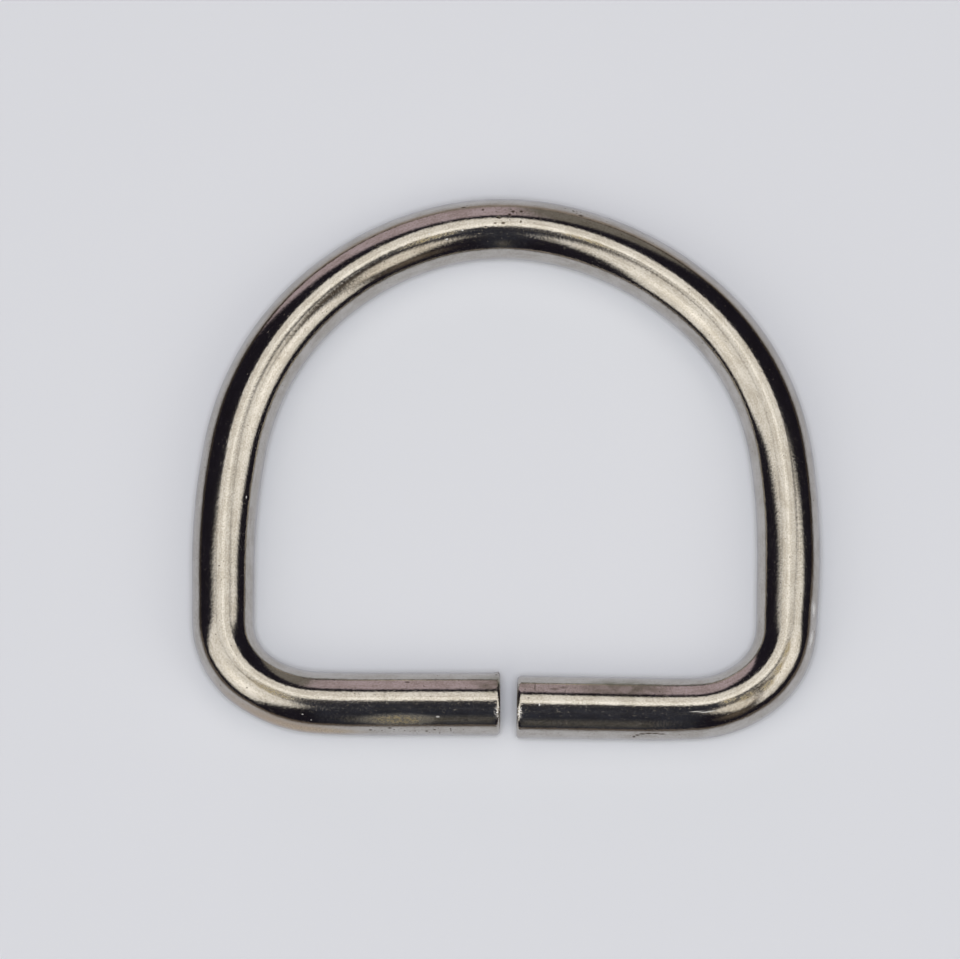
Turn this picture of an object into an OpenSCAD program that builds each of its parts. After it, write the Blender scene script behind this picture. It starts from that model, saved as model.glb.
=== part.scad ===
// D ring bent from one length of round wire, for carrying a strap on a bag, belt or collar.
// It lies on its side: X runs across it, Y runs from the straight bar to the crown, and Z is up.
// The origin is under the middle of the ring, on the surface that it lies on.

/* [Wire] */
// Diameter of the round wire
wire_d = 4; // [3:0.1:5]
// Bevel that takes the sharp edge off each cut end
end_bevel = 0.25; // [0.1:0.05:0.6]

/* [Ring] */
// Clear width between the two legs, which is the width of the strap
inner_w = 31.5; // [26:0.5:34]
// Clear height from the left half of the bar up to the crown
inner_h = 26; // [24:0.5:36]
// How far the top of the crown stands to the left of the ring's middle
crown_shift = 0.2; // [0:0.05:1]

/* [Corners] */
// Inside radius of the tight bend at the foot of each leg
tight_bend_r = 2.6; // [1.5:0.1:4]
// Inside radius of the looser bend that runs from it into the bar
loose_bend_r = 5.5; // [4:0.1:7.5]
// Angle that the tight bend turns through, of the corner's quarter turn
tight_bend_turn = 52; // [30:1:70]

/* [Gap] */
// Gap between the two cut ends of the wire
gap_w = 1.25; // [0.5:0.05:4]
// How far the gap's middle stands to the right of the ring's middle
gap_shift = 0.2; // [0:0.05:1]
// How much lower the right cut end lies than the left one
end_step = 0.3; // [0:0.05:1]

/* [Hidden] */
$fn = 96;

// A heading is the angle that the wire has turned through since the crown, where it runs level
level = 0;
down = 90;
level_back = 180;

// Bends of each half of the bow, from the crown to the foot of the leg. The columns are the radius
// as a share of the other bends' radii in its half, and the heading at the end of the bend.
left_bow = [
    [1.00, 42],
    [0.93, 77],
    [2.10, down],
];
right_bow = [
    [1.00, 40],
    [0.87, 78],
    [1.80, down],
];

// Every other stretch of wire is a hair thinner than its neighbours and runs a little way into
// them, so that all the stretches are one solid with no two surfaces in the same place
lap_l = 0.1;
lap_hair = 0.002;

wire_r = wire_d / 2;
half_w = inner_w / 2 + wire_r;
tight_r = tight_bend_r + wire_r;
loose_r = loose_bend_r + wire_r;
tight_end = down + tight_bend_turn;
left_h = inner_h + wire_d;
right_h = left_h + end_step;
crown_y = (inner_h + 2 * wire_d + end_step) / 2 - wire_r;

// Sideways and downward travel of a bend of radius r from heading a to heading b
function bend_travel(r, a, b) = [r * (sin(b) - sin(a)), r * (cos(a) - cos(b))];

// Heading at which bend i of a bow begins
function bow_start(bow, i) = i == 0 ? level : bow[i - 1][1];

// Travel of a whole bow from bend i on, with its shares read as radii
function bow_travel(bow, i = 0) =
    i == len(bow) ? [0, 0] : bend_travel(bow[i][0], bow_start(bow, i), bow[i][1]) + bow_travel(bow, i + 1);

// Stretches of wire of one half of the ring, from the crown to the cut end. The columns are the
// bend's radius, or 0 for a straight stretch, the headings at its start and end, and the length of
// a straight stretch. The bow is sized to span reach, the leg makes up height, and the bar runs to
// end_x, all measured from the top of the crown.
function half_run(bow, reach, height, end_x) =
    let (
        size = reach / bow_travel(bow)[0],
        tight = bend_travel(tight_r, down, tight_end),
        loose = bend_travel(loose_r, tight_end, level_back),
        leg_l = height - size * bow_travel(bow)[1] - tight[1] - loose[1],
        bar_l = reach + tight[0] + loose[0] - end_x
    )
    [
        for (i = [0:len(bow) - 1])
            [size * bow[i][0], bow_start(bow, i), bow[i][1], 0],
        [0, down, down, leg_l],
        [tight_r, down, tight_end, 0],
        [loose_r, tight_end, level_back, 0],
        [0, level_back, level_back, bar_l],
    ];

// Sideways and downward travel of one stretch
function travel(stretch) =
    bend_travel(stretch[0], stretch[1], stretch[2])
        + stretch[3] * [cos(stretch[1]), sin(stretch[1])];

// Point where stretch i of a run begins, sideways and downward from the top of the crown
function run_point(run, i) = i == 0 ? [0, 0] : run_point(run, i - 1) + travel(run[i - 1]);

left_run = half_run(left_bow, half_w - crown_shift, left_h, gap_w / 2 - gap_shift - crown_shift);
right_run = half_run(right_bow, half_w + crown_shift, right_h, gap_w / 2 + gap_shift + crown_shift);

// Bend that starts at the origin along +X and turns down towards -Y, run on by lap at both ends
module wire_bend(r, bend_r, turn, lap) {
    lap_turn = lap / bend_r * 180 / PI;
    translate([0, -bend_r, 0])
        rotate_extrude(angle = turn + 2 * lap_turn, start = down - turn - lap_turn)
            translate([bend_r, 0])
                circle(r = r);
}

// Straight stretch from the origin along +X, run on by lap at both ends
module wire_straight(r, length, lap) {
    translate([-lap, 0, 0])
        rotate([90, 0, 90])
            cylinder(r = r, h = length + 2 * lap);
}

// Straight stretch that ends in the bevelled cut, run on by lap at its start alone
module wire_end(r, length, lap) {
    rotate([90, 0, 90])
        rotate_extrude()
            polygon([
                [0, -lap],
                [r, -lap],
                [r, length - end_bevel],
                [r - end_bevel, length],
                [0, length],
            ]);
}

// Half of the ring to the right of its crown. The stretches whose number leaves the remainder
// thin_ones, when it is halved, are the thinner ones.
module half_ring(run, thin_ones) {
    for (i = [0:len(run) - 1]) {
        thin = i % 2 == thin_ones;
        r = thin ? wire_r - lap_hair : wire_r;
        lap = thin ? lap_l : 0;
        point = run_point(run, i);
        translate([point[0], -point[1], 0])
            rotate([0, 0, -run[i][1]]) {
                if (run[i][0] > 0)
                    wire_bend(r, run[i][0], run[i][2] - run[i][1], lap);
                else if (i < len(run) - 1)
                    wire_straight(r, run[i][3], lap);
                else
                    wire_end(r, run[i][3], lap);
            }
    }
}

// The whole ring, with the top of its crown a little to the left of the middle
module d_ring() {
    color([0.66, 0.63, 0.57])
        translate([-crown_shift, crown_y, wire_r]) {
            half_ring(right_run, 1);
            mirror([1, 0, 0])
                half_ring(left_run, 0);
        }
}

d_ring();
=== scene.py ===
import math

import bpy
import numpy as np
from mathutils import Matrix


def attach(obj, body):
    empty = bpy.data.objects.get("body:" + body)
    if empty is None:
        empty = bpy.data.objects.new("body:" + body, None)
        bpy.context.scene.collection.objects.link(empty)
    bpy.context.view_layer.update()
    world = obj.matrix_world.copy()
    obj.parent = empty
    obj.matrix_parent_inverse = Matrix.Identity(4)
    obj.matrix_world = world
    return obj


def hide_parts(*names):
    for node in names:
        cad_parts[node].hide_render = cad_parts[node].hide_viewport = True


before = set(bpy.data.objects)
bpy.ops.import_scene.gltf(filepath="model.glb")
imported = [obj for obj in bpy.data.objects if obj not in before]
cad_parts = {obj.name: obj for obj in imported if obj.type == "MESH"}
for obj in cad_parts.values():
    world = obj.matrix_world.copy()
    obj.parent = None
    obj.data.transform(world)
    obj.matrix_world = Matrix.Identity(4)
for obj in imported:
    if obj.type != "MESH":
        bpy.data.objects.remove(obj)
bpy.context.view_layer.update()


# The wire
# One length of round steel wire, 4 mm thick, bent cold to a D and nickel plated. Its two sheared
# ends face each other across a small gap in the middle of the straight bar, and nothing joins
# them. Its surface is a round profile carried along the wire's middle line.

mm = 0.001
wire_radius = 2.0
crown_place = (-0.22, 15.26)
way_step = 0.02
spring_length = 0.8
spare_end = 1.0


def bend(radius, turn):
    """One bend as its length and turn: the length is the radius times the turn in radians."""
    return radius * math.radians(turn), turn


# Lengths in mm and turns in degrees, clockwise from the left cut end. A straight stretch turns by 0.
left_half = [
    (8.21, 0.0),
    bend(64.0, 2.9),
    bend(7.55, 33.35),
    bend(4.5, 53.75),
    (3.45, 0.0),
    bend(39.7, 11.3),
    bend(16.75, 34.2),
    bend(17.85, 32.0),
    bend(15.6, 12.5),
]
right_half = [
    bend(16.2, 10.0),
    bend(19.4, 33.0),
    bend(15.85, 37.9),
    bend(36.8, 10.9),
    (4.08, 0.0),
    bend(4.9, 50.05),
    bend(6.65, 36.25),
    bend(64.0, 2.9),
    (7.9, 0.0),
]


def wire_run(left, right):
    """The wire's middle line, as arrays of the way along it, its heading, and its x and y.

    The heading falls through each stretch at a steady rate, by that stretch's turn, and is then
    averaged over a short length, because cold wire springs and never starts a bend at once. The
    place is the running sum of small steps along the heading, moved so that the crown is in place.
    """
    lengths = np.array([spare_end] + [length for length, _ in left + right] + [spare_end])
    turns = np.array([0.0] + [turn for _, turn in left + right] + [0.0])
    joints = np.concatenate([[0.0], np.cumsum(lengths)]) - spare_end
    turned = np.concatenate([[0.0], np.cumsum(turns)])
    way = np.arange(-spare_end, joints[-1], way_step)
    half_window = int(round(spring_length / 2 / way_step))
    window = np.ones(2 * half_window + 1) / (2 * half_window + 1)
    sharp = np.interp(way, joints, turned)
    eased = np.convolve(np.pad(sharp, half_window, mode="edge"), window, mode="valid")
    crown = len(left) + 1
    heading = np.radians(turned[crown] - eased)
    step_x = np.cos(heading) * way_step
    step_y = np.sin(heading) * way_step
    x = np.cumsum(step_x) - step_x / 2
    y = np.cumsum(step_y) - step_y / 2
    x += crown_place[0] - np.interp(joints[crown], way, x)
    y += crown_place[1] - np.interp(joints[crown], way, y)
    return way, heading, x, y


run_way, run_heading, run_x, run_y = wire_run(left_half, right_half)
wire_length = sum(length for length, _ in left_half + right_half)

# How wide the wire is across the ring, as a share of its height: bending draws it thinner. Each
# row has a way in mm and the share there.
width_at = [
    (0.0, 0.980),
    (10.0, 0.980),
    (15.0, 0.940),
    (21.0, 0.975),
    (28.0, 0.990),
    (41.0, 0.975),
    (55.0, 0.948),
    (71.0, 0.978),
    (85.0, 0.990),
    (91.0, 0.950),
    (97.0, 0.945),
    (102.0, 0.975),
    (wire_length, 0.980),
]

# Small hollows left by knocks: way and angle, half length, half width and depth, in mm and degrees.
dents = [
    (89.2, 31.0, 0.45, 0.16, 0.035),
    (90.9, 31.0, 0.40, 0.15, 0.030),
    (54.6, 62.0, 0.16, 0.12, 0.012),
    (55.3, 58.0, 0.12, 0.12, 0.010),
    (27.9, 129.0, 0.16, 0.10, 0.020),
]
# A broad swelling on the outer side where the right corner's bend begins, in the same terms.
swellings = [(87.3, 22.0, 2.2, 1.4, 0.080)]
# The burr that the shears left at the inner edge of the left end, and the nib at the right one.
burrs = [
    (0.04, 152.0, 0.07, 0.10, 0.10),
    (0.12, 166.0, 0.09, 0.16, 0.09),
    (0.24, 158.0, 0.06, 0.10, 0.06),
    (0.34, 168.0, 0.05, 0.10, 0.05),
    (109.80, 146.0, 0.07, 0.12, 0.08),
]


def spots(way, angle, places):
    """A sum of soft round spots: each is its height times e to the power of minus the squared
    distance from its middle, measured in its own half length and half width."""
    total = np.zeros(np.broadcast(way, angle).shape)
    for spot_way, spot_angle, half_length, half_width, height in places:
        along = (way - spot_way) / half_length
        off = np.angle(np.exp(1j * (angle - math.radians(spot_angle))))
        round_it = off * wire_radius / half_width
        total += height * np.exp(-(along**2) - round_it**2)
    return total


oval_height = 0.012
lobe_height = 0.0025
lobe_count = 5
lobe_drift = 5.0
lobe_start = 1.0


def roundness(way, angle):
    """How far the wire stands off a true circle: a slight oval that leans outwards in the bar and
    the crown and fades out in the legs, slow lobes a few microns high, less the dents, plus the
    swellings and the burrs."""
    strength = 1 + np.cos(4 * math.pi * way / wire_length)
    oval = -oval_height * np.sin(2 * angle) * strength
    lobes = lobe_height * np.sin(lobe_count * angle - way / lobe_drift + lobe_start)
    return oval + lobes - spots(way, angle, dents) + spots(way, angle, swellings + burrs)


def wire_surface(way, angle, inset):
    """Points in mm at a way along the wire, an angle round it and an inset from its skin.

    The angle starts at the outside of the ring and rises through the top. A point is the middle
    line's, moved out by the radius times the cosine, narrowed by the wire's width there, and up
    by the radius times the sine.
    """
    places, shares = np.array(width_at).T
    width = np.interp(way, places, shares)
    radius = wire_radius + roundness(way, angle) * (1 - inset / wire_radius) - inset
    out = radius * width * np.cos(angle)
    up = radius * np.sin(angle)
    heading = np.interp(way, run_way, run_heading)
    x = np.interp(way, run_way, run_x) - np.sin(heading) * out
    y = np.interp(way, run_way, run_y) + np.cos(heading) * out
    z = wire_radius + up
    return np.stack([x, y, z], axis=-1)


rim_rows = 8
face_rows = 10
face_start = 0.92
face_lean = 0.03
torn_below = 0.5
ridge_height = 0.010
ridge_pitch = 7.0
ridge_sway = 1.5
sway_pitch = 3.0
ridge_fade = 3.0


def sheared_end(rim, angle, lean):
    """Rows of one sheared end, from its middle outwards, as depth below the end and inset.

    On the face the inset shrinks evenly, and the depth is a lean across it plus fine drag ridges
    in its lower half. The rim is a quarter circle: its depth is the rim's radius times one less
    the cosine, and its inset the same with one less the sine.
    """
    share = np.linspace(face_start, 0.0, face_rows)[:, None]
    face_inset = rim + share * (wire_radius - rim)
    out = (wire_radius - face_inset) * np.cos(angle)
    up = (wire_radius - face_inset) * np.sin(angle)
    torn_share = np.clip(torn_below - up, 0.0, 1.0)
    waves = np.sin(ridge_pitch * up + ridge_sway * np.sin(sway_pitch * out))
    ridges = ridge_height * torn_share * waves
    face_depth = lean * up * share + ridges * np.minimum(ridge_fade * share, 1.0)
    quarter = np.linspace(0.0, math.pi / 2, rim_rows + 1)[1:, None]
    rim_depth = rim * (1 - np.cos(quarter))
    rim_inset = rim * (1 - np.sin(quarter))
    return np.concatenate([face_depth, rim_depth]), np.concatenate([face_inset, rim_inset])


around_count = 88
body_rows = 1010
fine_rows = 16
fine_reach = 1.3
rim_reach = 0.45

# The rims are rounded most at the outside of the ring on the left end, and at its inside on the
# right end. Each has a radius, and how much more or less it is from one side to the other.
left_rim_radius = 0.22
left_rim_change = 0.08
right_rim_radius = 0.23
right_rim_change = 0.03
turn_round = np.linspace(0.0, 2 * math.pi, around_count, endpoint=False)
left_rim = left_rim_radius + left_rim_change * np.cos(turn_round)
right_rim = right_rim_radius + right_rim_change * np.cos(turn_round - math.pi)
left_depth, left_inset = sheared_end(left_rim, turn_round, -face_lean)
right_depth, right_inset = sheared_end(right_rim, turn_round, face_lean)

# The rows of the grid from end to end: the left end, close rows beside it, the body, and the right.
end_rows = np.linspace(rim_reach, fine_reach, fine_rows, endpoint=False)
middle_way = np.linspace(fine_reach, wire_length - fine_reach, body_rows)
body_way = np.concatenate([end_rows, middle_way, wire_length - end_rows[::-1]])
body_grid = np.repeat(body_way[:, None], around_count, axis=1)
way_grid = np.concatenate([left_depth, body_grid, wire_length - right_depth[::-1]])
inset_grid = np.concatenate([left_inset, np.zeros_like(body_grid), right_inset[::-1]])
angle_grid = np.repeat(turn_round[None, :], len(way_grid), axis=0)
skin = wire_surface(way_grid, angle_grid, inset_grid).reshape(-1, 3)
poles = wire_surface(np.array([0.0, wire_length]), np.zeros(2), np.full(2, wire_radius))

# The same points on the wire before it is bent: the way, and the place out and up from its middle.
straight_out = (wire_radius - inset_grid) * np.cos(angle_grid)
straight_up = (wire_radius - inset_grid) * np.sin(angle_grid)
straight = np.stack([way_grid, straight_out, straight_up], axis=-1).reshape(-1, 3)
straight_poles = np.array([[0.0, 0.0, 0.0], [wire_length, 0.0, 0.0]])

row_count = len(way_grid)
corner = np.arange(row_count * around_count).reshape(row_count, around_count)
beside = np.roll(corner, -1, axis=1)
quads = np.stack([corner[:-1], beside[:-1], beside[1:], corner[1:]], axis=-1).reshape(-1, 4)
left_pole = row_count * around_count
right_pole = left_pole + 1
left_fan = np.stack([np.full(around_count, left_pole), beside[0], corner[0]], axis=-1)
right_fan = np.stack([np.full(around_count, right_pole), corner[-1], beside[-1]], axis=-1)

wire_mesh = bpy.data.meshes.new("ring_wire")
wire_points = np.concatenate([skin, poles]) * mm
wire_faces = quads.tolist() + left_fan.tolist() + right_fan.tolist()
wire_mesh.from_pydata(wire_points.tolist(), [], wire_faces)
wire_mesh.shade_smooth()
straight_wire = wire_mesh.attributes.new("straight_wire", "FLOAT_VECTOR", "POINT")
straight_points = np.concatenate([straight, straight_poles])
straight_wire.data.foreach_set("vector", straight_points.astype(np.float32).ravel())
ring_wire = bpy.data.objects.new("ring_wire", wire_mesh)
bpy.context.scene.collection.objects.link(ring_wire)


def add_node(tree, kind, *values, **settings):
    """Adds a node to a tree. The values go into its inputs in order: a socket is linked, None is
    left as it is, and anything else is set."""
    made = tree.nodes.new(kind)
    for name, value in settings.items():
        setattr(made, name, value)
    for value, socket in zip(values, made.inputs):
        if isinstance(value, bpy.types.NodeSocket):
            tree.links.new(value, socket)
        elif value is not None:
            socket.default_value = value
    return made


nickel = bpy.data.materials.new("nickel_plate")
nickel.use_nodes = True
nickel_tree = nickel.node_tree
nickel_shader = nickel_tree.nodes["Principled BSDF"]
nickel_shader.inputs["Specular Tint"].default_value = (0.95, 0.95, 0.97, 1.0)
wire_attribute = add_node(nickel_tree, "ShaderNodeAttribute", attribute_name="straight_wire")
wire_place = wire_attribute.outputs["Vector"]


def nickel_math(operation, *values):
    """One sum on the nickel's numbers."""
    return add_node(nickel_tree, "ShaderNodeMath", *values, operation=operation).outputs[0]


def nickel_vector(operation, *values):
    """One sum on the nickel's places."""
    return add_node(nickel_tree, "ShaderNodeVectorMath", *values, operation=operation)


def rising(value, low, high):
    """0 below the low value and 1 above the high one, with a smooth step between them."""
    return add_node(
        nickel_tree, "ShaderNodeMapRange", value, low, high, 0.0, 1.0, interpolation_type="SMOOTHSTEP"
    ).outputs[0]


def noise(along, round_it, detail):
    """Cloudy noise from 0 to 1, with so many clouds a mm along the wire and round it: it is read
    at the place on the straightened wire, times one scale along it and another round it."""
    stretched = nickel_vector("MULTIPLY", wire_place, (along, round_it, round_it)).outputs[0]
    return add_node(nickel_tree, "ShaderNodeTexNoise", stretched, None, 1.0, detail).outputs[0]


def mark(way, angle, half_length, half_width):
    """1 in the middle of a mark on the wire, falling smoothly to 0 at its ends and sides."""
    turn = math.radians(angle)
    middle = (way, wire_radius * math.cos(turn), wire_radius * math.sin(turn))
    off = nickel_vector("SUBTRACT", wire_place, middle).outputs[0]
    shares = (1 / half_length, 1 / half_width, 1 / half_width)
    scaled = nickel_vector("MULTIPLY", off, shares).outputs[0]
    away = nickel_vector("LENGTH", scaled).outputs["Value"]
    return nickel_math("SUBTRACT", 1.0, rising(away, 0.2, 1.0))


def most(values):
    """The largest of several values."""
    largest = values[0]
    for value in values[1:]:
        largest = nickel_math("MAXIMUM", largest, value)
    return largest


def marks(places):
    """Several marks together. Each place has its way and angle, half length and half width."""
    return most([mark(*place) for place in places])


def colour_mix(tree, amount, first, second):
    """The first colour where the amount is 0, the second where it is 1."""
    made = add_node(tree, "ShaderNodeMix", amount, data_type="RGBA")
    for value, socket in ((first, made.inputs[6]), (second, made.inputs[7])):
        if isinstance(value, bpy.types.NodeSocket):
            tree.links.new(value, socket)
        else:
            socket.default_value = value
    return made.outputs[2]


# Colour: pale yellowish nickel with cloudy dull patches, fine streaks along the wire and grain.
clean_nickel = (0.70, 0.665, 0.60, 1.0)
dull_nickel = (0.53, 0.49, 0.42, 1.0)
grain_share = 0.9
streak_share = 0.45
cloud_share = 0.9
grain = noise(9.0, 11.0, 2.0)
streaks = noise(0.5, 9.0, 2.0)
clouds = noise(0.9, 1.4, 3.0)
fine_tone = nickel_math(
    "ADD", nickel_math("MULTIPLY", grain, grain_share), nickel_math("MULTIPLY", streaks, streak_share)
)
tone = nickel_math("ADD", fine_tone, nickel_math("MULTIPLY", clouds, cloud_share))
mottled = colour_mix(nickel_tree, rising(tone, 0.86, 1.42), clean_nickel, dull_nickel)

# Tarnish: a golden brown crust where the plating is thin, broken up by noise. It is matt.
golden_crust = (0.46, 0.37, 0.20, 1.0)
crusted_places = [
    (6.3, 53.0, 3.0, 0.56),
    (11.5, 20.0, 4.0, 0.45),
    (14.2, 84.0, 2.4, 0.28),
    (50.0, 98.0, 3.2, 0.20),
    (60.2, 95.0, 2.6, 0.15),
    (91.9, 81.0, 0.9, 0.24),
    (93.1, 79.0, 0.9, 0.30),
    (94.2, 74.0, 0.9, 0.30),
    (95.6, 80.0, 1.0, 0.28),
    (96.7, 85.0, 0.9, 0.24),
]
film_noise = noise(5.0, 8.0, 4.0)
film_share = nickel_math("MULTIPLY_ADD", rising(film_noise, 0.38, 0.64), 0.6, 0.4)
film_amount = nickel_math("MULTIPLY", marks(crusted_places), film_share)
filmed = colour_mix(nickel_tree, film_amount, mottled, golden_crust)

# A straw tint warms the outer side of the left corner.
straw_colour = (0.58, 0.46, 0.33, 1.0)
straw_strength = 0.9
straw = nickel_math("MULTIPLY", mark(13.0, 17.0, 5.5, 1.2), straw_strength)
tinted = colour_mix(nickel_tree, straw, filmed, straw_colour)

# Smoky brown veins run on the right bar, and two faint drips cross the left one.
vein_brown = (0.22, 0.19, 0.14, 1.0)
vein_strength = 0.5
drip_strength = 0.35
drip_places = [(5.0, 101.0, 0.22, 0.60), (7.2, 101.0, 0.18, 0.55)]
vein_places = [(107.0, 123.0, 0.40, 0.16), (107.6, 119.0, 0.50, 0.14), (108.8, 123.0, 0.09, 0.50)]
drips = nickel_math("MULTIPLY", marks(drip_places), drip_strength)
veins = most([drips, marks(vein_places)])
veined = colour_mix(nickel_tree, nickel_math("MULTIPLY", veins, vein_strength), tinted, vein_brown)

# A grey-green haze dulls the inner side of the right bar and of the left end.
haze_colour = (0.32, 0.31, 0.24, 1.0)
haze_places = [(103.4, 124.0, 3.7, 1.1), (0.2, 122.0, 1.9, 1.0)]
haze_share = nickel_math("MULTIPLY_ADD", rising(clouds, 0.35, 0.62), 0.5, 0.5)
haze = nickel_math("MULTIPLY", marks(haze_places), haze_share)
hazed = colour_mix(nickel_tree, haze, veined, haze_colour)

# Pits: fine dark specks everywhere, more where the plating failed, and single larger ones. A hair
# line curls on the outer side of the right bar.
pit_brown = (0.10, 0.075, 0.05, 1.0)
pitted_places = [(54.9, 66.0, 1.3, 0.9), (58.8, 35.0, 1.6, 0.7), (6.0, 24.0, 6.0, 0.6)]
pitted_rise = 0.09
large_pits = [
    (54.5, 76.0, 0.17, 0.12),
    (54.8, 88.0, 0.19, 0.12),
    (54.3, 88.0, 0.15, 0.08),
    (55.2, 71.0, 0.13, 0.16),
    (55.4, 63.0, 0.16, 0.13),
    (55.9, 62.0, 0.15, 0.12),
    (53.7, 95.0, 0.12, 0.08),
    (0.24, 150.0, 0.13, 0.11),
    (0.10, 159.0, 0.10, 0.13),
    (55.9, 84.0, 0.08, 0.14),
    (58.9, 36.0, 0.14, 0.12),
    (59.4, 46.0, 0.20, 0.13),
    (53.6, 58.0, 0.10, 0.12),
    (52.5, 46.0, 0.22, 0.10),
    (8.1, 27.0, 0.16, 0.10),
    (6.9, 33.0, 0.20, 0.09),
    (4.6, 23.0, 0.15, 0.11),
    (4.1, 28.0, 0.13, 0.09),
    (3.1, 30.0, 0.09, 0.10),
    (5.8, 127.0, 0.24, 0.08),
]
hair_line = [
    (102.55, 20.0, 0.14, 0.20),
    (102.35, 26.0, 0.20, 0.13),
    (102.05, 30.0, 0.30, 0.11),
    (101.65, 31.5, 0.36, 0.10),
    (101.25, 31.5, 0.36, 0.09),
    (100.85, 29.5, 0.34, 0.08),
]
pit_level = nickel_math(
    "ADD", noise(7.0, 7.0, 1.0), nickel_math("MULTIPLY", marks(pitted_places), pitted_rise)
)
pits = most([rising(pit_level, 0.735, 0.80), marks(large_pits)])
dark_specks = most([pits, marks(hair_line)])
pitted = colour_mix(nickel_tree, dark_specks, hazed, pit_brown)

# Scuffs: small rough places that have lost their shine and look white. The cut ends' rims are
# torn, and broken white grain is painted on them as a highlight.
scuff_and_highlight_white = (0.95, 0.94, 0.90, 1.0)
scuff_and_highlight_strength = 0.85
fleck_strength = 0.6
torn_rim_highlights = [(0.12, 68.0, 0.36, 0.62), (109.8, 72.0, 0.36, 0.62)]
scuffed_places = [(89.2, 31.0, 0.62, 0.28), (90.9, 31.0, 0.55, 0.25), (27.9, 129.0, 0.14, 0.06)]
fleck_places = [
    (12.2, 58.0, 0.10, 0.06),
    (11.7, 48.0, 0.06, 0.06),
    (3.9, 59.0, 0.20, 0.10),
    (52.2, 96.0, 0.13, 0.09),
    (51.1, 107.0, 0.16, 0.09),
    (50.1, 89.0, 0.10, 0.08),
    (108.5, 88.0, 0.08, 0.13),
    (98.1, 75.0, 0.80, 0.05),
    (98.7, 77.5, 0.70, 0.04),
]
# The torn rims: broken white grain, a painted highlight.
torn_highlight_grain = nickel_math("MULTIPLY", marks(torn_rim_highlights), rising(grain, 0.48, 0.58))
scuffs_and_rim_highlights = nickel_math("MULTIPLY", most([marks(scuffed_places), torn_highlight_grain]), scuff_and_highlight_strength)
flecks = nickel_math("MULTIPLY", marks(fleck_places), fleck_strength)
wear_and_rim_highlights = most([scuffs_and_rim_highlights, flecks])
scuffed_and_highlighted = colour_mix(nickel_tree, wear_and_rim_highlights, pitted, scuff_and_highlight_white)
nickel_tree.links.new(scuffed_and_highlighted, nickel_shader.inputs["Base Color"])

# Tarnish, scuffs and the painted highlight on the torn rims cover the metal in part.
film_cover = nickel_math("MULTIPLY", film_amount, 0.55)
metal_share = nickel_math("SUBTRACT", 1.0, most([film_cover, wear_and_rim_highlights]))
nickel_tree.links.new(metal_share, nickel_shader.inputs["Metallic"])

# Finish: bright, with smoky smears, rough scuffs and duller tarnish. Each dulled place has its
# amount and the roughness that it reaches in full.
bright_polish = 0.085
tarnish_dullness = 0.04
dullness = nickel_math("MULTIPLY", rising(film_noise, 0.35, 0.70), tarnish_dullness)
polish = nickel_math("ADD", dullness, bright_polish)
dulled = [
    (wear_and_rim_highlights, 0.6),
    (rising(noise(2.6, 7.0, 3.0), 0.52, 0.76), 0.25),
    (pits, 0.30),
    (film_amount, 0.40),
    (haze, 0.22),
    (veins, 0.22),
    (rising(noise(6.0, 9.0, 3.0), 0.58, 0.72), 0.24),
]
roughness = most([polish] + [nickel_math("MULTIPLY", amount, reached) for amount, reached in dulled])
nickel_tree.links.new(roughness, nickel_shader.inputs["Roughness"])

# Relief: lines left by drawing, fine ripples, slow waves, pits, and rough skin near the cut ends.
micron = 0.000001
end_reach = 0.6
end_start = 0.05


def bumped(height, distance, under=None):
    """A surface whose height rises by the distance, in metres, as the value goes from 0 to 1."""
    made = add_node(nickel_tree, "ShaderNodeBump")
    made.inputs["Strength"].default_value = 1.0
    made.inputs["Distance"].default_value = distance
    nickel_tree.links.new(height, made.inputs["Height"])
    if under is not None:
        nickel_tree.links.new(under, made.inputs["Normal"])
    return made.outputs[0]


relief = bumped(noise(0.35, 4.0, 2.0), 1.6 * micron)
relief = bumped(noise(6.0, 7.0, 2.0), 4.2 * micron, relief)
relief = bumped(noise(0.5, 0.8, 1.0), 4.0 * micron, relief)
relief = bumped(nickel_math("SUBTRACT", 1.0, pits), 4.0 * micron, relief)
from_left = add_node(nickel_tree, "ShaderNodeSeparateXYZ", wire_place).outputs["X"]
from_right = nickel_math("SUBTRACT", wire_length, from_left)
from_end = nickel_math("MINIMUM", from_left, from_right)
near_end = nickel_math("SUBTRACT", 1.0, rising(from_end, end_start, end_reach))
relief = bumped(nickel_math("MULTIPLY", near_end, noise(7.0, 7.0, 2.0)), 14.0 * micron, relief)
nickel_tree.links.new(relief, nickel_shader.inputs["Normal"])
wire_mesh.materials.append(nickel)

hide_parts("d_ring")
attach(ring_wire, "root")


# The surface
# A plain sheet of pale matt paper, far larger than the view, and the ring lies on it. What the
# metal mirrors of it is painted: near the ring it is pale with painted shade, and further out a
# painted dark brown reflection stands where there is only more paper. The camera sees plain
# paper everywhere.

paper_radius = 1.5
paper_sides = 128
paper_turn = np.linspace(0.0, 2 * math.pi, paper_sides, endpoint=False)
paper_edge = np.stack([np.cos(paper_turn), np.sin(paper_turn), np.zeros(paper_sides)], axis=-1)
paper_mesh = bpy.data.meshes.new("paper")
paper_mesh.from_pydata((paper_edge * paper_radius).tolist(), [], [list(range(paper_sides))])
paper = bpy.data.objects.new("paper", paper_mesh)
bpy.context.scene.collection.objects.link(paper)
paper_material = bpy.data.materials.new("matt_paper")
paper_material.use_nodes = True
paper_tree = paper_material.node_tree
paper_shader = paper_tree.nodes["Principled BSDF"]
paper_place = add_node(paper_tree, "ShaderNodeTexCoord").outputs["Object"]
paper_parts = add_node(paper_tree, "ShaderNodeSeparateXYZ", paper_place).outputs


def paper_math(operation, *values):
    """One sum on the paper's numbers."""
    return add_node(paper_tree, "ShaderNodeMath", *values, operation=operation).outputs[0]


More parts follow.
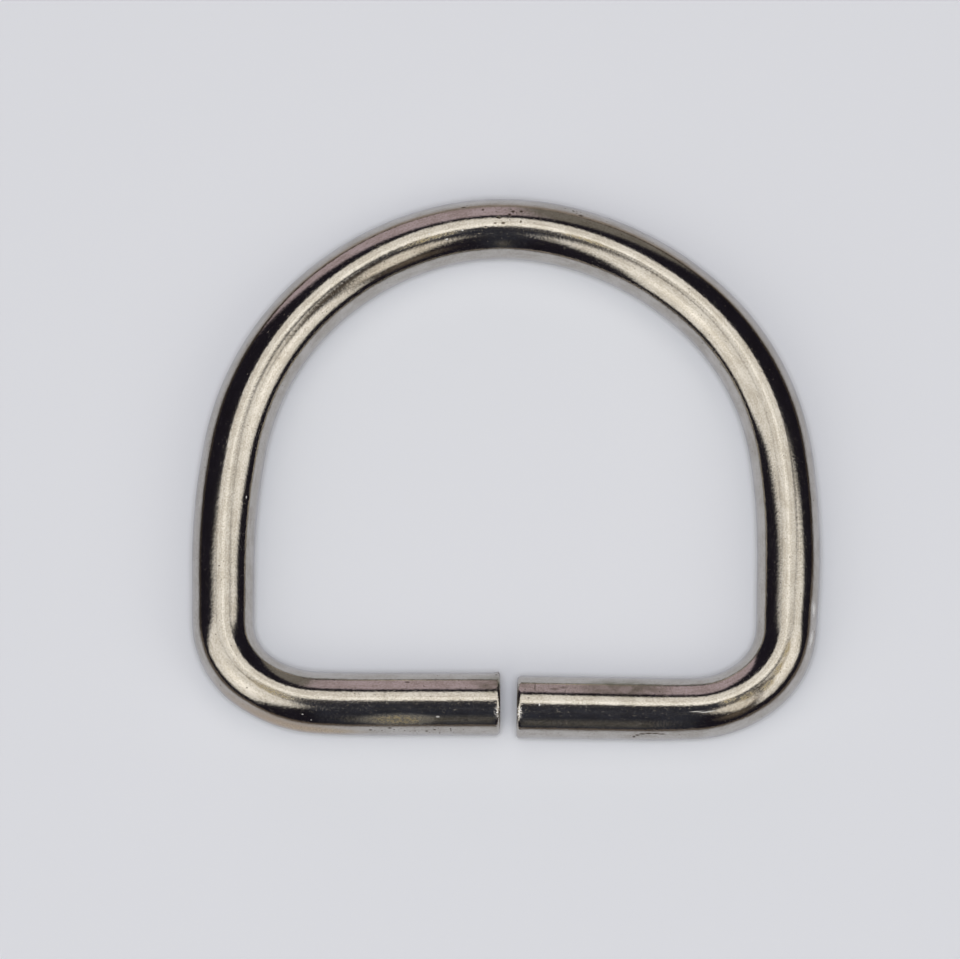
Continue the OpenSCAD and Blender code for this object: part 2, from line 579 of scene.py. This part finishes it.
def paper_vector(operation, *values):
    """One sum on the paper's places."""
    return add_node(paper_tree, "ShaderNodeVectorMath", *values, operation=operation)


def evenly(value, start, end):
    """0 at the start value and before it, 1 at the end value and past it, and even between."""
    return add_node(paper_tree, "ShaderNodeMapRange", value, start, end).outputs[0]


# How far out a place is: past a rounded edge on every side, and past a straight one to the south.
pale_middle = (0.0, -8.0 * mm, 0.0)
pale_shape = (1.1, 1.0, 1.0)
from_middle = paper_vector("SUBTRACT", paper_place, pale_middle).outputs[0]
shaped = paper_vector("MULTIPLY", from_middle, pale_shape).outputs[0]
past_round = evenly(paper_vector("LENGTH", shaped).outputs["Value"], 30.0 * mm, 46.0 * mm)
past_south = evenly(paper_parts["Y"], -26.0 * mm, -44.0 * mm)
far_out = paper_math("MAXIMUM", past_round, past_south)

# The painted dark reflection is brown and darkest beside the legs, north of a slightly aslant line.
# The near paper as the metal mirrors it, darker than the camera sees it: a painted shade.
shaded_mirrored_paper = (0.62, 0.635, 0.685, 1.0)
painted_far_south = (0.15, 0.125, 0.105, 1.0)
painted_far_north = (0.36, 0.31, 0.27, 1.0)
painted_far_beside = (0.06, 0.048, 0.04, 1.0)
aslant = (-0.07, 1.0, 0.0)
northward = paper_vector("DOT_PRODUCT", paper_place, aslant).outputs["Value"]
north_share = evenly(northward, -13.0 * mm, -5.0 * mm)
beside_legs = evenly(paper_math("ABSOLUTE", paper_parts["X"]), 22.0 * mm, 36.0 * mm)
dark_share = paper_math("MULTIPLY", beside_legs, north_share)
painted_far_middle = colour_mix(paper_tree, north_share, painted_far_south, painted_far_north)
painted_far_reflection = colour_mix(paper_tree, dark_share, painted_far_middle, painted_far_beside)
mirrored = colour_mix(paper_tree, far_out, shaded_mirrored_paper, painted_far_reflection)
plain_paper = (0.80, 0.81, 0.83, 1.0)
in_a_mirror = add_node(paper_tree, "ShaderNodeLightPath").outputs["Is Glossy Ray"]
paper_colour = colour_mix(paper_tree, in_a_mirror, plain_paper, mirrored)
paper_tree.links.new(paper_colour, paper_shader.inputs["Base Color"])
paper_shader.inputs["Roughness"].default_value = 0.9
paper_shader.inputs["Specular IOR Level"].default_value = 0.0
paper_mesh.materials.append(paper_material)


# The light
# Soft white panels hang over the ring, with dark room between them. They are painted on the
# sky by direction: a direction's zenith angle in degrees, laid out the way that it points.

world = bpy.data.worlds.new("studio")
bpy.context.scene.world = world
world.use_nodes = True
sky_tree = world.node_tree


def sky_math(operation, *values):
    """One sum on the sky's numbers."""
    return add_node(sky_tree, "ShaderNodeMath", *values, operation=operation).outputs[0]


def sky_vector(operation, *values):
    """One sum on the sky's directions."""
    return add_node(sky_tree, "ShaderNodeVectorMath", *values, operation=operation)


direction = add_node(sky_tree, "ShaderNodeTexCoord").outputs["Generated"]
upwards = add_node(sky_tree, "ShaderNodeSeparateXYZ", direction).outputs["Z"]
zenith_degrees = sky_math("MULTIPLY", sky_math("ARCCOSINE", upwards), 180 / math.pi)
level_direction = sky_vector("MULTIPLY", direction, (1.0, 1.0, 0.0)).outputs[0]
bearing = sky_vector("NORMALIZE", level_direction).outputs[0]
laid_out = sky_vector("SCALE", bearing)
sky_tree.links.new(zenith_degrees, laid_out.inputs["Scale"])
sky_flat = laid_out.outputs[0]
sky_place = sky_vector("ADD", sky_flat, (0.0, 0.0, 1.0)).outputs[0]


def inside(corners):
    """How far inside a panel a direction is, in degrees, and below 0 outside it: the smallest, over
    its edges, of the distance from the edge's line. The corners go anticlockwise, in degrees east
    and north of overhead."""
    depth = None
    for (east, north), (next_east, next_north) in zip(corners, corners[1:] + corners[:1]):
        length = math.hypot(next_east - east, next_north - north)
        inward_east = -(next_north - north) / length
        inward_north = (next_east - east) / length
        level = inward_east * east + inward_north * north
        line = (inward_east, inward_north, -level)
        edge = sky_vector("DOT_PRODUCT", sky_place, line).outputs["Value"]
        depth = edge if depth is None else sky_math("MINIMUM", depth, edge)
    return depth


def sky_step(value, low, high, at_low, at_high):
    """A smooth step from one amount at the low value to another at the high one."""
    return add_node(
        sky_tree,
        "ShaderNodeMapRange",
        value,
        low,
        high,
        at_low,
        at_high,
        interpolation_type="SMOOTHSTEP",
    ).outputs[0]


def seen(depth, softness):
    """How much of a panel shows, from 0 to 1: a smooth step across its edge."""
    return sky_step(depth, -softness, softness, 0.0, 1.0)


def either(first, second):
    """The larger of two depths or amounts: two panels together."""
    return sky_math("MAXIMUM", first, second)


def both(first, second):
    """The two amounts multiplied."""
    return sky_math("MULTIPLY", first, second)


def glow(east, north, reach):
    """A soft round bright spot: 1 in its middle, falling smoothly to 0 at its reach."""
    away = sky_vector("DISTANCE", sky_flat, (east, north, 0.0)).outputs["Value"]
    return sky_step(away, 0.0, reach, 1.0, 0.0)


# The panels: a dome overhead with one toe and two feet, a wing at either side, a small sheet, a
# faint column and a thin strip to the south, and a dim wall in the north with a pink left side.
dome = inside(
    [
        (-26, 9),
        (-14, 4.5),
        (0, 3),
        (14, 3.5),
        (22, 4),
        (29, 13),
        (24.5, 21),
        (18.5, 27.5),
        (10, 33.5),
        (0, 37.5),
        (-9, 36),
        (-16, 31),
        (-22, 22),
    ]
)
left_toe = inside([(-27, 7), (-19, -0.5), (-11, -4), (-5, -3), (0, 6), (-14, 10)])
left_wing = inside(
    [
        (-27, 10),
        (-38, 7),
        (-52, 0.5),
        (-70, -11),
        (-75, -20),
        (-68, -35),
        (-50, -58),
        (-43, -62),
        (-10, -36),
        (-6.5, -27),
        (-8, -16),
    ]
)
left_foot = inside([(-8, -8), (-27, 6), (-40, 3), (-38, -20), (-12, -18)])
right_wing = inside(
    [
        (34, 13.5),
        (25, -9),
        (28, -22),
        (32.5, -35),
        (38, -48),
        (42, -54),
        (46, -53),
        (56, -41.5),
        (67, -25),
        (69.5, -13),
        (62, 1),
        (50.5, 10),
    ]
)
right_foot = inside([(8, -2.5), (22, -8), (46, 4), (40, 11.5), (33, 11)])
south_sheet = inside(
    [
        (10.5, -16),
        (8, -24),
        (7.5, -31),
        (17, -43.5),
        (25, -49),
        (29, -46),
        (29.5, -38),
        (26, -28),
        (17, -17.5),
    ]
)
wall = inside(
    [
        (-75, 105),
        (-75, 63),
        (-47, 55),
        (-29, 51.5),
        (-16, 49.3),
        (-4, 48),
        (7, 51),
        (14, 54.5),
        (26, 61),
        (45, 72),
        (60, 105),
    ]
)
pink_side = inside([(-90, 105), (-90, 40), (5, 40), (5, 105)])
south_strip = inside([(-1.4, -44), (-1.4, -95), (0.9, -95), (0.9, -44)])
south_column = inside([(-5.5, -2), (-5.5, -95), (6, -95), (6, -2)])

core = seen(either(either(dome, left_toe), either(left_foot, right_foot)), 3.0)
wings = seen(either(left_wing, right_wing), 4.0)
white = either(core, wings)
wall_seen = seen(wall, 4.0)

# The room's own dark, and what each panel and each soft glow adds to it, as linear light.
room_dark = (0.014, 0.012, 0.019)
sky_lights = [
    (white, (0.95, 0.92, 0.87)),
    (seen(south_sheet, 3.5), (0.85, 0.80, 0.72)),
    (both(white, glow(-35, -29, 22)), (0.45, 0.44, 0.42)),
    (both(white, glow(41, -14, 26)), (0.35, 0.34, 0.33)),
    (both(white, glow(1, 10, 10)), (0.40, 0.40, 0.39)),
    (wall_seen, (0.185, 0.173, 0.150)),
    (both(wall_seen, seen(pink_side, 4.5)), (0.27, 0.20, 0.26)),
    (seen(south_column, 4.0), (0.016, 0.021, 0.028)),
    (both(seen(south_strip, 0.9), glow(0, -69, 24)), (0.15, 0.135, 0.098)),
    (glow(17, -10, 13), (0.08, 0.065, 0.045)),
    (glow(31, -37, 12), (0.10, 0.08, 0.06)),
    (glow(28, -59, 17), (0.13, 0.105, 0.075)),
    (glow(-6, -7, 8), (0.07, 0.06, 0.045)),
]
room = room_dark
for amount, colour in sky_lights:
    room = sky_vector("MULTIPLY_ADD", amount, colour, room).outputs[0]
sky_background = sky_tree.nodes["Background"]
sky_tree.links.new(room, sky_background.inputs["Color"])

# Behind the paper's edge the camera sees a plain pale backdrop in place of the painted sky.
backdrop_colour = (0.66, 0.68, 0.71, 1.0)
seen_backdrop = add_node(sky_tree, "ShaderNodeBackground", backdrop_colour, 1.0)
light_path = add_node(sky_tree, "ShaderNodeLightPath")
sky_mix = add_node(
    sky_tree,
    "ShaderNodeMixShader",
    light_path.outputs["Is Camera Ray"],
    sky_background.outputs[0],
    seen_backdrop.outputs[0],
)
sky_tree.links.new(sky_mix.outputs[0], sky_tree.nodes["World Output"].inputs["Surface"])

# A soft round lamp beside the camera brightens the paper. It doesn't show in the metal.
lamp_lean = math.radians(7.5)
lamp_distance = 0.8
lamp_data = bpy.data.lights.new("high_lamp", "AREA")
lamp_data.shape = "DISK"
lamp_data.size = 0.24
lamp_data.color = (0.87, 0.91, 1.0)
lamp_data.energy = 2.74
high_lamp = bpy.data.objects.new("high_lamp", lamp_data)
high_lamp.location = (0.0, -math.sin(lamp_lean) * lamp_distance, math.cos(lamp_lean) * lamp_distance)
high_lamp.rotation_euler = (lamp_lean, 0.0, 0.0)
high_lamp.visible_glossy = False
high_lamp.visible_camera = False
bpy.context.scene.collection.objects.link(high_lamp)


# The camera
# It looks down on the ring from the straight bar's side, 8 degrees off square, from far enough
# that the view hardly narrows with distance.

camera_lean = math.radians(8.0)
aim = (-1.59 * mm, -0.67 * mm, 2.0 * mm)
view_width = 60.28 * mm
focal_length = 400.0
sensor = 36.0
distance = view_width * focal_length / sensor
camera_data = bpy.data.cameras.new("camera")
camera_data.lens = focal_length
camera_data.sensor_width = sensor
camera_data.clip_start = 0.01
camera_data.clip_end = 10.0
camera = bpy.data.objects.new("camera", camera_data)
camera.location = (
    aim[0],
    aim[1] - math.sin(camera_lean) * distance,
    aim[2] + math.cos(camera_lean) * distance,
)
camera.rotation_euler = (camera_lean, 0.0, 0.0)
bpy.context.scene.collection.objects.link(camera)
bpy.context.scene.camera = camera
bpy.context.scene.view_settings.view_transform = "Standard"
